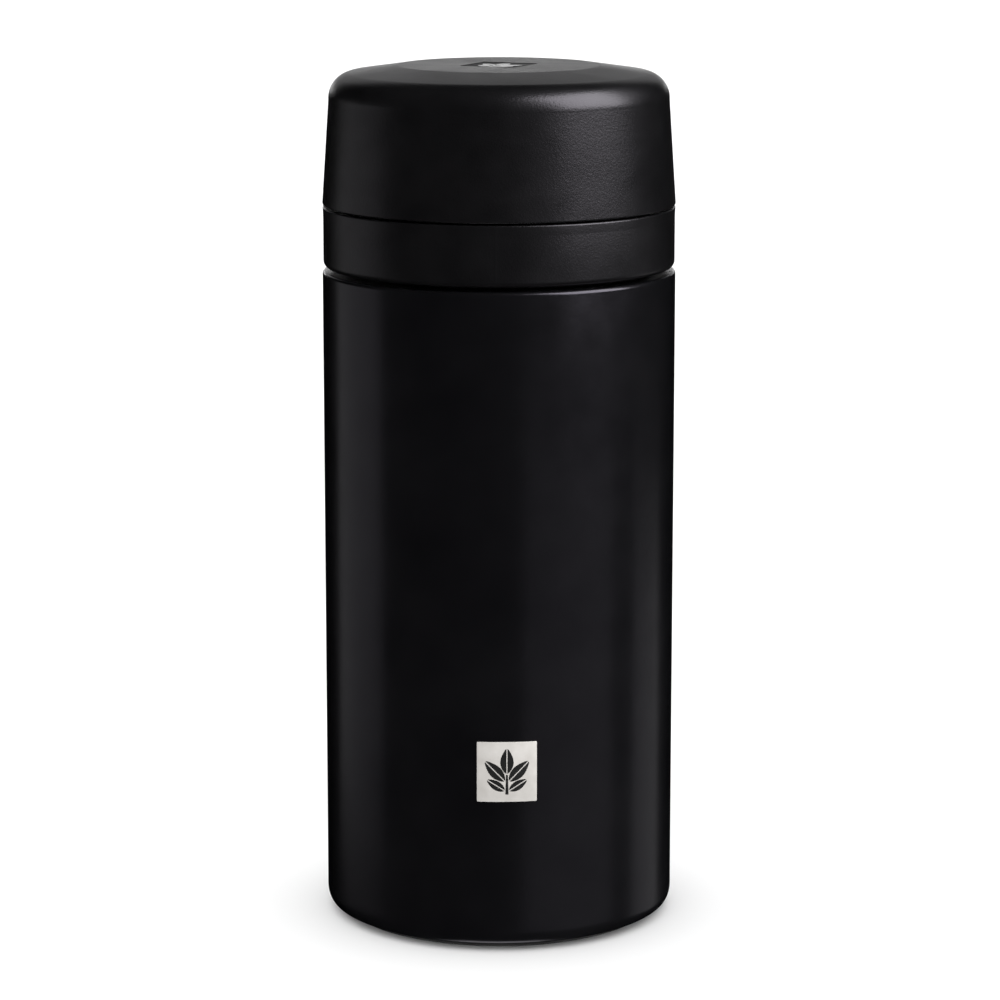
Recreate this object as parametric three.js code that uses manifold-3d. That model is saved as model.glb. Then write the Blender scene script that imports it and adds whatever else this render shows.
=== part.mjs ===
// Vacuum flask of about 420 ml: a double-walled steel bottle, a screw-on drinking collar that holds
// a tea strainer, and a screw cap.
// Units are millimetres. +Z is up, the flask stands on z = 0, and its front badge faces -Y.

import * as THREE from 'three';
import { mergeVertices } from 'three/addons/utils/BufferGeometryUtils.js';
import Module from 'manifold-3d';

const wasm = await Module();
wasm.setup();

// ---------- Driving dimensions ----------

const SIDES = 36; // facets round every large turned piece
const SMALL_SIDES = 16; // facets round the small ones
const FIT = 0.3; // gap between pieces that touch, for glue, weld or running clearance

// The outer wall of the bottle. Its lower edge is rolled in to a flange.
const SHELL = {
  radius: 36.5,
  wall: 0.5,
  bottom: 1.45,
  top: 136.1,
  topRound: 0.8,
  footRx: 1.54,
  footRz: 2.92,
  flangeRadius: 32.2,
};
const NECK = { outer: 30.2, inner: 29.4, top: 144.1 };

// The inner bottle hangs from its lip, which is welded to the top of the neck.
const INNER = {
  radius: 33.1,
  wall: 0.5,
  bottom: 8.5,
  bottomRound: 6,
  shoulder: 128.5,
  neckFoot: 133.7,
  neckOuter: 29.1,
  neckInner: 28.3,
  lipTop: 145.2,
  lipThickness: 0.8,
};
const FOIL = { inner: 33.4, outer: 33.6, bottom: 16, top: 127 };

// The pressed base closes the outer wall. Its raised middle has the evacuation hole.
const BASE = { wall: 0.5, rimTop: 7, dimpleTop: 3.7, dimpleRadius: 6, dimpleFoot: 8, holeRadius: 1.2 };
const BEAD = { radius: 2.4, edge: 1.6, bottom: 2.4, bend: 2.9, top: 3.4 };
const BRACKET = { x: 18, length: 6, width: 6.4, height: 2.6, wall: 0.4 };
const PELLET = { radius: 2.4, height: 1.8 };
const COVER = { thickness: 0.45 };
const FOOT = { inner: 27, outer: 32.8, height: 1.15, round: 0.6 };

// The front badge, a thin square plate that follows the shell.
const BADGE = { width: 12.2, height: 12.5, thickness: 0.2, middle: 38.25, glue: 0.1, steps: 6 };

// Both screw threads: two starts, right-handed.
const THREAD = { starts: 2, lead: 8, height: 1, base: 2.2, tip: 1.5, buried: 0.3, runOut: 4, sunk: 0.2 };
const PITCH = THREAD.lead / THREAD.starts;

// The collar's heights are counted from the shoulder of the bottle, SHELL.top.
const SLEEVE = {
  radius: 36.44,
  waist: 36.34,
  inner: 35,
  bottom: 0.7,
  top: 13.25,
  lipInner: 33,
  lipBottom: 11.8,
  lowRound: 1.3,
  topRound: 0.3,
};
const CORE = {
  skirtOuter: 34.7,
  skirtInner: 31.6,
  skirtBottom: 1.05,
  skirtTop: 11.5,
  stepRadius: 32.7,
  webBottom: 11.2,
  top: 13.25,
  tubeOuter: 27.9,
  tubeInner: 26.6,
  tubeBottom: 1.9,
  ledge: 12.4,
  spoutOuter: 28.6,
  spoutInner: 25.8,
  spoutTop: 26.3,
  rimRound: 1.1,
};
const COLLAR_GASKET = { inner: 28.4, outer: 31.2, bottom: 9.4, top: 10.9, round: 0.3 };
const NECK_THREAD = { low: 1.9, high: 6.5 };
const CORE_THREAD = { low: 2.5, high: 7.8 };
const SPOUT_THREAD = { low: 16.1, high: 22.5 };

const BASKET = {
  radius: 24.6,
  wall: 0.4,
  bottom: -44.1,
  round: 2,
  flange: 26.3,
  flangeBottom: 11.1,
  flangeTop: 12.1,
};
const BASKET_SEAL = { inner: 24.9, outer: 26.3, bottom: 5.9, top: 9.9, round: 0.5 };

// The cap's heights are counted from its lower edge.
const CAP_BOTTOM = 149.72;
const CAP = {
  radius: 36.47,
  wall: 1.8,
  edgeRound: 0.35,
  taperTop: 22.11,
  crownRound: 5.32,
  crownFrom: -3.7,
  crownTo: 75.7,
  taperRadius: 35.04,
  crownRadius: 20.8,
  top: 28.43,
  topWall: 1.9,
};
const LINER = {
  outer: 31.6,
  inner: 30,
  bottom: 0.28,
  flange: 34.3,
  flangeTop: 1.68,
  ceiling: 15.68,
  top: 17.68,
  lipOuter: 25.1,
  lipInner: 24.3,
  lipBottom: 13.88,
};
const LINER_THREAD = { low: 1.7, high: 11.2 };
const CAP_GASKET = { inner: 25.4, outer: 29.7, bottom: 12.98, top: 15.38, round: 0.5 };
const FOAM = {
  radius: 30,
  bottom: 17.98,
  shoulder: 23.9,
  shoulderRadius: 28.5,
  shoulderTop: 24.8,
  middle: 20,
  top: 26,
};
const CAP_BADGE = { side: 12.3, corner: 0.5, thickness: 0.5, turn: -27, pocketDepth: 0.9 };

// ---------- Geometry helpers ----------

// Points [radius, height] on an ellipse about a centre, between two angles in degrees.
function arc(centre, radii, fromDegrees, toDegrees, steps) {
  return Array.from({ length: steps + 1 }, (_, i) => {
    const angle = THREE.MathUtils.degToRad(fromDegrees + ((toDegrees - fromDegrees) * i) / steps);
    return [centre[0] + radii[0] * Math.cos(angle), centre[1] + radii[1] * Math.sin(angle)];
  });
}

// An outline whose corners may be rounded. A corner is [radius, height] or [radius, height, fillet].
function outline(corners, steps = 2) {
  return corners.flatMap(([r, z, fillet], i) => {
    if (!fillet) {
      return [[r, z]];
    }
    const corner = new THREE.Vector2(r, z);
    const [before, after] = [corners.at(i - 1), corners[(i + 1) % corners.length]].map((next) =>
      new THREE.Vector2(next[0], next[1]).sub(corner).normalize(),
    );
    const half = Math.acos(before.dot(after)) / 2;
    const inward = before.clone().add(after).normalize();
    const centre = corner.clone().addScaledVector(inward, fillet / Math.sin(half));
    const [start, end] = [before, after].map((way) =>
      way.clone().multiplyScalar(fillet / Math.tan(half)).add(corner).sub(centre),
    );
    const sweep = Math.atan2(start.cross(end), start.dot(end));
    return Array.from({ length: steps + 1 }, (_, k) => {
      const turned = start.clone().rotateAround(new THREE.Vector2(), (sweep * k) / steps);
      return [centre.x + turned.x, centre.y + turned.y];
    });
  });
}

// Turns an outline about Z. It runs anticlockwise with radius to the right and height up, and it either
// starts and ends on the axis or is closed here.
function turned(points, sides = SIDES) {
  const path = points.map(([r, z]) => new THREE.Vector2(r, z));
  if (path[0].x > 0) {
    path.push(path[0].clone());
  }
  return new THREE.LatheGeometry(path, sides).rotateX(Math.PI / 2);
}

// A plain ring of rectangular section, with its four edges broken if asked.
function ring({ inner, outer, bottom, top, round }) {
  const corners = [
    [inner, bottom, round],
    [outer, bottom, round],
    [outer, top, round],
    [inner, top, round],
  ];
  return turned(outline(corners, 1));
}

function solidOf(geometry) {
  const bare = geometry.clone();
  bare.deleteAttribute('normal');
  bare.deleteAttribute('uv');
  const welded = mergeVertices(bare);
  const corners = welded.index.array;
  const kept = [];
  for (let i = 0; i < corners.length; i += 3) {
    const [a, b, c] = [corners[i], corners[i + 1], corners[i + 2]];
    if (a !== b && b !== c && c !== a) {
      kept.push(a, b, c);
    }
  }
  return new wasm.Manifold(
    new wasm.Mesh({
      numProp: 3,
      vertProperties: Float32Array.from(welded.attributes.position.array),
      triVerts: Uint32Array.from(kept),
    }),
  );
}

function geometryOf(solid) {
  const mesh = solid.getMesh();
  const geometry = new THREE.BufferGeometry();
  geometry.setAttribute('position', new THREE.BufferAttribute(mesh.vertProperties, 3));
  geometry.setIndex(new THREE.BufferAttribute(mesh.triVerts, 1));
  return geometry;
}

function join(body, ...additions) {
  return geometryOf(additions.reduce((whole, piece) => whole.add(solidOf(piece)), solidOf(body)));
}

function cut(body, tool) {
  return geometryOf(solidOf(body).subtract(solidOf(tool)));
}

// The ridges of a screw thread. Each one starts as a straight bar, with x along the axis, y outward and one
// unit of z per facet, and is then bent round the axis as it climbs. Its ends sink into the wall.
// The helix passes height zero at the first facet, raised by the offset.
function threadRidges({ wall, outward, low, high, offset }) {
  const side = outward ? 1 : -1;
  const root = wall - side * THREAD.buried;
  const crest = wall + side * THREAD.height;
  const climb = THREAD.lead / SIDES;
  const first = Math.round((low - offset) / climb);
  const count = Math.round((high - offset) / climb) - first;
  const section = new THREE.Shape([
    new THREE.Vector2(-THREAD.base / 2, root),
    new THREE.Vector2(THREAD.base / 2, root),
    new THREE.Vector2(THREAD.tip / 2, crest),
    new THREE.Vector2(-THREAD.tip / 2, crest),
  ]);
  return Array.from({ length: THREAD.starts }, (_, start) => {
    const bar = new THREE.ExtrudeGeometry(section, { depth: count, steps: count, bevelEnabled: false });
    const at = bar.attributes.position;
    for (let i = 0; i < at.count; i += 1) {
      const step = Math.round(at.getZ(i));
      const fromEnd = Math.min(step, count - step) / THREAD.runOut;
      const rise = THREE.MathUtils.clamp(fromEnd, THREAD.sunk, 1);
      const radius = root + (at.getY(i) - root) * rise;
      const angle = 2 * Math.PI * ((first + step) / SIDES + start / THREAD.starts);
      const height = offset + (first + step) * climb + at.getX(i);
      at.setXYZ(i, radius * Math.sin(angle), -radius * Math.cos(angle), height);
    }
    return bar;
  });
}

// A square with rounded corners.
function squareShape(side, corner) {
  const half = side / 2;
  const shape = new THREE.Shape();
  shape.absarc(half - corner, half - corner, corner, 0, Math.PI / 2);
  shape.absarc(corner - half, half - corner, corner, Math.PI / 2, Math.PI);
  shape.absarc(corner - half, corner - half, corner, Math.PI, 1.5 * Math.PI);
  shape.absarc(half - corner, corner - half, corner, 1.5 * Math.PI, 2 * Math.PI);
  return shape;
}

// ---------- The bottle ----------

const footCentre = [SHELL.radius - SHELL.footRx, SHELL.bottom + SHELL.footRz];

// The rounded lower corner of the shell, or of a layer inside it.
function footCorner(inset, steps = 3) {
  return arc(footCentre, [SHELL.footRx - inset, SHELL.footRz - inset], -90, 0, steps);
}

function outerShell() {
  const { radius, wall, bottom, top, topRound, flangeRadius } = SHELL;
  const body = turned([
    [flangeRadius, bottom],
    ...footCorner(0),
    ...arc([radius - topRound, top - topRound], [topRound, topRound], 0, 90, 3),
    [NECK.outer, top],
    [NECK.outer, NECK.top],
    [NECK.inner, NECK.top],
    [NECK.inner, top - wall],
    [radius - topRound, top - wall],
    [radius - wall, top - topRound],
    ...footCorner(wall).reverse(),
    [flangeRadius, bottom + wall],
  ]);
  const ridges = threadRidges({
    wall: NECK.outer,
    outward: true,
    low: top + NECK_THREAD.low,
    high: top + NECK_THREAD.high,
    offset: top,
  });
  return join(body, ...ridges);
}

function innerBottle() {
  const { radius, wall, bottom, bottomRound, shoulder } = INNER;
  const { neckFoot, neckOuter, neckInner, lipTop, lipThickness } = INNER;
  const cornerCentre = [radius - bottomRound, bottom + bottomRound];
  const innerRound = bottomRound - wall;
  return turned([
    [0, bottom],
    ...arc(cornerCentre, [bottomRound, bottomRound], -90, 0, 4),
    [radius, shoulder],
    [neckOuter, neckFoot],
    [neckOuter, lipTop - lipThickness],
    [NECK.outer, lipTop - lipThickness],
    [NECK.outer, lipTop],
    [neckInner, lipTop],
    [neckInner, neckFoot - wall],
    [radius - wall, shoulder - wall],
    ...arc(cornerCentre, [innerRound, innerRound], 0, -90, 4),
    [0, bottom + wall],
  ]);
}

function outerBase() {
  const { wall, rimTop, dimpleTop, dimpleRadius, dimpleFoot, holeRadius } = BASE;
  const inset = SHELL.wall + FIT;
  const floor = SHELL.bottom + inset;
  const rim = SHELL.radius - inset;
  return turned([
    [holeRadius, dimpleTop],
    [dimpleRadius, dimpleTop],
    [dimpleFoot, floor],
    ...footCorner(inset),
    [rim, rimTop],
    [rim - wall, rimTop],
    ...footCorner(inset + wall).reverse(),
    [dimpleFoot + wall, floor + wall],
    [dimpleRadius + wall, dimpleTop + wall],
    [holeRadius, dimpleTop + wall],
  ]);
}

function sealingBead() {
  const { radius, edge, bottom, bend, top } = BEAD;
  const points = [
    [0, bottom],
    [edge, bottom],
    [radius, bend],
    [radius, top],
    [0, top],
  ];
  return turned(points, SMALL_SIDES);
}

// A strip bent into a channel, open at the top, lying along Y.
function getterBracket() {
  const { length, width, height, wall } = BRACKET;
  const half = width / 2;
  const section = new THREE.Shape([
    new THREE.Vector2(-half, 0),
    new THREE.Vector2(half, 0),
    new THREE.Vector2(half, height),
    new THREE.Vector2(half - wall, height),
    new THREE.Vector2(half - wall, wall),
    new THREE.Vector2(wall - half, wall),
    new THREE.Vector2(wall - half, height),
    new THREE.Vector2(-half, height),
  ]);
  const channel = new THREE.ExtrudeGeometry(section, { depth: length, bevelEnabled: false });
  return channel.translate(0, 0, -length / 2).rotateX(Math.PI / 2);
}

function getterPellet() {
  const { radius, height } = PELLET;
  return new THREE.CylinderGeometry(radius, radius, height, SMALL_SIDES).rotateX(Math.PI / 2);
}

function baseCover() {
  const edge = SHELL.flangeRadius - FIT;
  return turned([
    [0, SHELL.bottom],
    [edge, SHELL.bottom],
    [edge, SHELL.bottom + COVER.thickness],
    [0, SHELL.bottom + COVER.thickness],
  ]);
}

function footRing() {
  const { inner, outer, height, round } = FOOT;
  return turned(
    outline([
      [inner, 0, round],
      [outer, 0, round],
      [outer, height],
      [inner, height],
    ]),
  );
}

function frontBadge() {
  const inner = SHELL.radius + BADGE.glue;
  const outer = inner + BADGE.thickness;
  const half = Math.asin(BADGE.width / 2 / outer);
  const front = -Math.PI / 2;
  const plate = new THREE.Shape();
  plate.absarc(0, 0, outer, front - half, front + half, false);
  plate.absarc(0, 0, inner, front + half, front - half, true);
  return new THREE.ExtrudeGeometry(plate, {
    depth: BADGE.height,
    curveSegments: BADGE.steps,
    bevelEnabled: false,
  });
}

// ---------- The collar, counted from the bottle's shoulder ----------

function collarSleeve() {
  const { radius, waist, inner, bottom, top, lipInner, lipBottom, lowRound, topRound } = SLEEVE;
  return turned(
    outline([
      [inner, bottom],
      [waist, bottom, lowRound],
      [waist, lipBottom],
      [radius, top, topRound],
      [lipInner, top],
      [lipInner, lipBottom],
      [inner, lipBottom],
    ]),
  );
}

function collarCore() {
  const body = turned(
    outline([
      [CORE.skirtInner, CORE.skirtBottom],
      [CORE.skirtOuter, CORE.skirtBottom],
      [CORE.skirtOuter, CORE.skirtTop],
      [CORE.stepRadius, CORE.skirtTop],
      [CORE.stepRadius, CORE.top],
      [CORE.spoutOuter, CORE.top],
      [CORE.spoutOuter, CORE.spoutTop, CORE.rimRound],
      [CORE.spoutInner, CORE.spoutTop, CORE.rimRound],
      [CORE.spoutInner, CORE.ledge],
      [CORE.tubeInner, CORE.ledge],
      [CORE.tubeInner, CORE.tubeBottom],
      [CORE.tubeOuter, CORE.tubeBottom],
      [CORE.tubeOuter, CORE.webBottom],
      [CORE.skirtInner, CORE.webBottom],
    ]),
  );
  // Its ridges on the neck side run midway between the neck's.
  const neckSide = threadRidges({
    wall: CORE.skirtInner,
    outward: false,
    offset: PITCH / 2,
    ...CORE_THREAD,
  });
  const spoutSide = threadRidges({
    wall: CORE.spoutOuter,
    outward: true,
    offset: CORE.top,
    ...SPOUT_THREAD,
  });
  return join(body, ...neckSide, ...spoutSide);
}

function strainerBasket() {
  const { radius, wall, bottom, round, flange, flangeBottom, flangeTop } = BASKET;
  const centre = [radius - round, bottom + round];
  return turned([
    [0, bottom],
    ...arc(centre, [round, round], -90, 0, 3),
    [radius, flangeBottom],
    [flange, flangeBottom],
    [flange, flangeTop],
    [radius - wall, flangeTop],
    ...arc(centre, [round - wall, round - wall], 0, -90, 3),
    [0, bottom + wall],
  ]);
}

// ---------- The cap, counted from its lower edge ----------

function capShell() {
  const { radius, wall, edgeRound, taperTop, taperRadius } = CAP;
  const { crownRound, crownFrom, crownTo, crownRadius } = CAP;
  const from = THREE.MathUtils.degToRad(crownFrom);
  const centre = [taperRadius - crownRound * Math.cos(from), taperTop - crownRound * Math.sin(from)];
  const innerRound = crownRound - wall;
  const innerTop = CAP.top - CAP.topWall;
  const body = turned([
    [0, innerTop],
    [crownRadius, innerTop],
    ...arc(centre, [innerRound, innerRound], crownTo, crownFrom, 3),
    [radius - wall, 0],
    [radius - edgeRound, 0],
    [radius, edgeRound],
    ...arc(centre, [crownRound, crownRound], crownFrom, crownTo, 6),
    [crownRadius, CAP.top],
    [0, CAP.top],
  ]);
  const pocketSide = CAP_BADGE.side + 2 * FIT;
  const pocket = new THREE.ExtrudeGeometry(squareShape(pocketSide, CAP_BADGE.corner + FIT), {
    depth: 2 * CAP_BADGE.pocketDepth,
    curveSegments: 2,
    bevelEnabled: false,
  });
  pocket.rotateZ(THREE.MathUtils.degToRad(CAP_BADGE.turn));
  pocket.translate(0, 0, CAP.top - CAP_BADGE.pocketDepth);
  return cut(body, pocket);
}

function capLiner() {
  const { outer, inner, bottom, flange, flangeTop, ceiling, top, lipOuter, lipInner, lipBottom } = LINER;
  const body = turned([
    [0, ceiling],
    [lipInner, ceiling],
    [lipInner, lipBottom],
    [lipOuter, lipBottom],
    [lipOuter, ceiling],
    [inner, ceiling],
    [inner, bottom],
    [flange, bottom],
    [flange, flangeTop],
    [outer, flangeTop],
    [outer, top],
    [0, top],
  ]);
  // The liner's ridges run midway between the spout's, whose helix is set in the collar's heights.
  const offset = SHELL.top + CORE.top + PITCH / 2 - CAP_BOTTOM;
  return join(body, ...threadRidges({ wall: inner, outward: false, ...LINER_THREAD, offset }));
}

function capInsulation() {
  const { radius, bottom, shoulder, shoulderRadius, shoulderTop, middle, top } = FOAM;
  return turned([
    [0, bottom],
    [radius, bottom],
    [radius, shoulder],
    [shoulderRadius, shoulderTop],
    [middle, top],
    [0, top],
  ]);
}

function capBadge() {
  return new THREE.ExtrudeGeometry(squareShape(CAP_BADGE.side, CAP_BADGE.corner), {
    depth: CAP_BADGE.thickness,
    curveSegments: 2,
    bevelEnabled: false,
  });
}

// ---------- Materials ----------

function finish(color, roughness, metalness) {
  return () => new THREE.MeshStandardMaterial({ color, roughness, metalness });
}

const powderCoat = finish(0x131314, 0.55, 0.1);
const mattPlastic = finish(0x161617, 0.65, 0);
const silicone = finish(0x1b1b1c, 0.8, 0);
const steel = finish(0xb9b8b4, 0.35, 1);
const copper = finish(0xc07a52, 0.3, 1);
const glass = finish(0x6f7a70, 0.2, 0);
const getterMetal = finish(0x6d6a66, 0.8, 0.4);
const foam = finish(0xe6e4dc, 0.95, 0);
const badgeMetal = finish(0xd6d3cd, 0.4, 0.9);
const glossBlack = finish(0x0c0c0d, 0.15, 0);

// ---------- Assembly ----------

function piece(name, geometry, material) {
  const mesh = new THREE.Mesh(geometry, material());
  mesh.name = name;
  return mesh;
}

const bottle = new THREE.Group();
const baseTop = SHELL.bottom + SHELL.wall + FIT + BASE.wall;
const bracket = piece('getter_bracket', getterBracket(), steel);
bracket.position.set(BRACKET.x, 0, baseTop + FIT);
const pellet = piece('getter_pellet', getterPellet(), getterMetal);
pellet.position.set(BRACKET.x, 0, baseTop + 2 * FIT + BRACKET.wall + PELLET.height / 2);
const badge = piece('badge', frontBadge(), badgeMetal);
badge.position.z = BADGE.middle - BADGE.height / 2;
bottle.add(
  piece('outer_shell', outerShell(), powderCoat),
  piece('inner_bottle', innerBottle(), steel),
  piece('radiation_foil', ring(FOIL), copper),
  piece('outer_base', outerBase(), steel),
  piece('sealing_bead', sealingBead(), glass),
  bracket,
  pellet,
  piece('base_cover', baseCover(), steel),
  piece('foot_ring', footRing(), silicone),
  badge,
);

const collar = new THREE.Group();
collar.position.z = SHELL.top;
collar.add(
  piece('collar_gasket', ring(COLLAR_GASKET), silicone),
  piece('collar_sleeve', collarSleeve(), mattPlastic),
  piece('collar_core', collarCore(), mattPlastic),
  piece('strainer_basket', strainerBasket(), steel),
  piece('strainer_seal', ring(BASKET_SEAL), silicone),
);

const cap = new THREE.Group();
cap.position.z = CAP_BOTTOM;
const topBadge = piece('cap_badge', capBadge(), glossBlack);
topBadge.position.z = CAP.top - CAP_BADGE.pocketDepth + FIT;
topBadge.rotation.z = THREE.MathUtils.degToRad(CAP_BADGE.turn);
cap.add(
  piece('cap_gasket', ring(CAP_GASKET), silicone),
  piece('cap_shell', capShell(), mattPlastic),
  piece('cap_liner', capLiner(), mattPlastic),
  piece('cap_insulation', capInsulation(), foam),
  topBadge,
);

const flask = new THREE.Group();
flask.add(bottle, collar, cap);

export default flask;
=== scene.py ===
from math import acos, atan2, ceil, cos, hypot, pi, radians, sin, tan

import bmesh
import bpy
from mathutils import Matrix, Vector


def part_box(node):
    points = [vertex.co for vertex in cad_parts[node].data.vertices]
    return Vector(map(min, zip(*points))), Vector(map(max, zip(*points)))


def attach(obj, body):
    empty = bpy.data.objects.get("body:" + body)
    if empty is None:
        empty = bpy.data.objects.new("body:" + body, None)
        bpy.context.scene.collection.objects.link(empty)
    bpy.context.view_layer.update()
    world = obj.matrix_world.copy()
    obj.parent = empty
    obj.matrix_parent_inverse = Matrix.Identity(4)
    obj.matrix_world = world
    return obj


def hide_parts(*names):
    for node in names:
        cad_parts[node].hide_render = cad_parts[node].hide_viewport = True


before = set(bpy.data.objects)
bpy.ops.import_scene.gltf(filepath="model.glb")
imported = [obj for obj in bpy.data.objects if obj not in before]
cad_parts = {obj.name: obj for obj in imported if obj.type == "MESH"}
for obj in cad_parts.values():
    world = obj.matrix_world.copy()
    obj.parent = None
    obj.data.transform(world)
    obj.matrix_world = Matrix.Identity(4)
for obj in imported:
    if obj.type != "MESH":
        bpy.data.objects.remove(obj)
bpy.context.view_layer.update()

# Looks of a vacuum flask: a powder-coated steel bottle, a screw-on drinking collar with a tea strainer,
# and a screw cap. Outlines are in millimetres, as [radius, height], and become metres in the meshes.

MM = 0.001

# ---------- Sizes, in millimetres ----------

STEPS = 160  # faces round a large turned piece
FIT = 0.3  # glue and running gap between pieces, as in the CAD

# Both screw threads: two starts, right-handed.
STARTS = 2
LEAD = 8
PITCH = LEAD / STARTS
RIDGE_HEIGHT = 1
RIDGE_BASE = 2.2
RIDGE_TIP = 1.5
RUN_OUT = 0.9  # climb over which a ridge fades into its wall


def extent(node):
    """Outer radius, lowest height and highest height of a turned CAD node."""
    low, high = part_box(node)
    return high.x / MM, low.z / MM, high.z / MM


SHELL_R, SHELL_BOTTOM, NECK_TOP = extent("outer_shell")
SHELL_WALL = 0.5
NECK_HEIGHT = 8
SHOULDER = NECK_TOP - NECK_HEIGHT
TOP_ROUND = 0.8
FOOT_RX = 1.54
FOOT_RZ = 2.92
FLANGE_R = 32.2
NECK_OUTER = 30.2
NECK_INNER = 29.4

# ---------- Mesh helpers ----------


def arc(centre, radii, start, end, count):
    """Points on an ellipse about a centre, between two angles in degrees."""
    turns = [radians(start + (end - start) * i / count) for i in range(count + 1)]
    return [(centre[0] + radii[0] * cos(a), centre[1] + radii[1] * sin(a)) for a in turns]


def rounded(corners, count=6):
    """An outline whose corners may be rounded: a corner is (radius, height) or (radius, height, fillet)."""
    points = []
    for i, corner in enumerate(corners):
        if len(corner) == 2 or not corner[2]:
            points.append((corner[0], corner[1]))
            continue
        here = Vector(corner[:2])
        before = (Vector(corners[i - 1][:2]) - here).normalized()
        after = (Vector(corners[(i + 1) % len(corners)][:2]) - here).normalized()
        half = acos(max(-1, min(1, before.dot(after)))) / 2
        centre = here + (before + after).normalized() * (corner[2] / sin(half))
        reach = corner[2] / tan(half)
        start, end = here + before * reach - centre, here + after * reach - centre
        sweep = atan2(start.cross(end), start.dot(end))
        for k in range(count + 1):
            turn = Matrix.Rotation(sweep * k / count, 2)
            points.append(tuple(centre + turn @ start))
    return points


def along(start, end, spacing):
    """Points from start up to but not including end, at most that far apart."""
    count = max(1, ceil(hypot(end[0] - start[0], end[1] - start[1]) / spacing))
    return [
        (start[0] + (end[0] - start[0]) * i / count, start[1] + (end[1] - start[1]) * i / count)
        for i in range(count)
    ]


def dense(outline, radius, spacing=0.11):
    """The outline with points added along its wall of that radius, where a thread runs."""
    points = []
    for start, end in zip(outline, outline[1:] + outline[:1]):
        on_wall = abs(start[0] - radius) < 1e-6 and abs(end[0] - radius) < 1e-6
        points += along(start, end, spacing) if on_wall else [start]
    return points


def outward_faces(obj):
    form = bmesh.new()
    form.from_mesh(obj.data)
    bmesh.ops.recalc_face_normals(form, faces=form.faces)
    form.to_mesh(obj.data)
    form.free()


def object_of(name, form):
    """An object with the form as its mesh."""
    mesh = bpy.data.meshes.new(name)
    form.to_mesh(mesh)
    form.free()
    mesh.shade_smooth()
    mesh.set_sharp_from_angle(angle=radians(35))
    obj = bpy.data.objects.new(name, mesh)
    bpy.context.scene.collection.objects.link(obj)
    return obj


def apply_modifiers(obj):
    seen = obj.evaluated_get(bpy.context.evaluated_depsgraph_get())
    obj.data = bpy.data.meshes.new_from_object(seen)
    obj.modifiers.clear()


def even_angles(steps=STEPS):
    return [2 * pi * i / steps for i in range(steps)]


def angles_with(places, widths, steps=STEPS):
    """Even angles, with close ones added about some places, so that a fine mark there has a shape."""
    extra = [place + side * width for place in places for width in widths for side in (-1, 1)]
    near = max(widths) * 1.5
    kept = [
        a
        for a in even_angles(steps)
        if all(abs((a - place + pi) % (2 * pi) - pi) > near for place in places)
    ]
    return sorted(a % (2 * pi) for a in kept + extra + list(places))


def new_object(name, vertices, faces, sharp=30):
    """A mesh object from points in millimetres, smooth but for edges sharper than that many degrees."""
    mesh = bpy.data.meshes.new(name)
    mesh.from_pydata([Vector(v) * MM for v in vertices], [], faces)
    mesh.validate()
    mesh.shade_smooth()
    mesh.set_sharp_from_angle(angle=radians(sharp))
    obj = bpy.data.objects.new(name, mesh)
    bpy.context.scene.collection.objects.link(obj)
    return obj


def turned(name, outline, relief=None, angles=None, sharp=30):
    """A mesh turned about Z. The outline runs anticlockwise with radius to the right and height up, and
    starts and ends on the axis or closes on itself. relief(angle, radius, height) may move its points;
    angles are counted from -Y, anticlockwise from above."""
    angles = angles or even_angles()
    vertices, rings = [], []
    for r, z in outline:
        first = len(vertices)
        if r == 0:
            vertices.append((0, 0, z))
            rings.append([first])
            continue
        for a in angles:
            radius, height = relief(a, r, z) if relief else (r, z)
            vertices.append((radius * sin(a), -radius * cos(a), height))
        rings.append(list(range(first, len(vertices))))
    pairs = list(zip(rings, rings[1:]))
    if outline[0][0] > 0:
        pairs.append((rings[-1], rings[0]))
    faces = []
    for lower, upper in pairs:
        for i in range(len(angles)):
            j = (i + 1) % len(angles)
            if len(lower) == 1:
                faces.append((lower[0], upper[j], upper[i]))
            elif len(upper) == 1:
                faces.append((lower[i], lower[j], upper[0]))
            else:
                faces.append((lower[i], lower[j], upper[j], upper[i]))
    return new_object(name, vertices, faces, sharp)


def ridge(angle, height, low, high, offset):
    """How far a thread stands out of its wall at that place. Ridge centres run from low to high."""
    lift = height - offset - LEAD * angle / (2 * pi)
    off_centre = (lift + PITCH / 2) % PITCH - PITCH / 2
    centre = height - off_centre
    end = min(centre - low, high - centre) / RUN_OUT
    if end <= 0:
        return 0
    flank = (RIDGE_BASE / 2 - abs(off_centre)) / (RIDGE_BASE / 2 - RIDGE_TIP / 2)
    return RIDGE_HEIGHT * smooth(flank) * smooth(end)


def smooth(x):
    x = max(0.0, min(1.0, x))
    return x * x * (3 - 2 * x)


def finish_piece(obj, body, node, slot, *materials):
    """Puts a piece on its CAD body in place of its CAD node, with its materials. The slot argument is not
    used.
    """
    for material in materials:
        obj.data.materials.append(material)
    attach(obj, body)
    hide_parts(node)
    return obj


# ---------- Materials ----------


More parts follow.
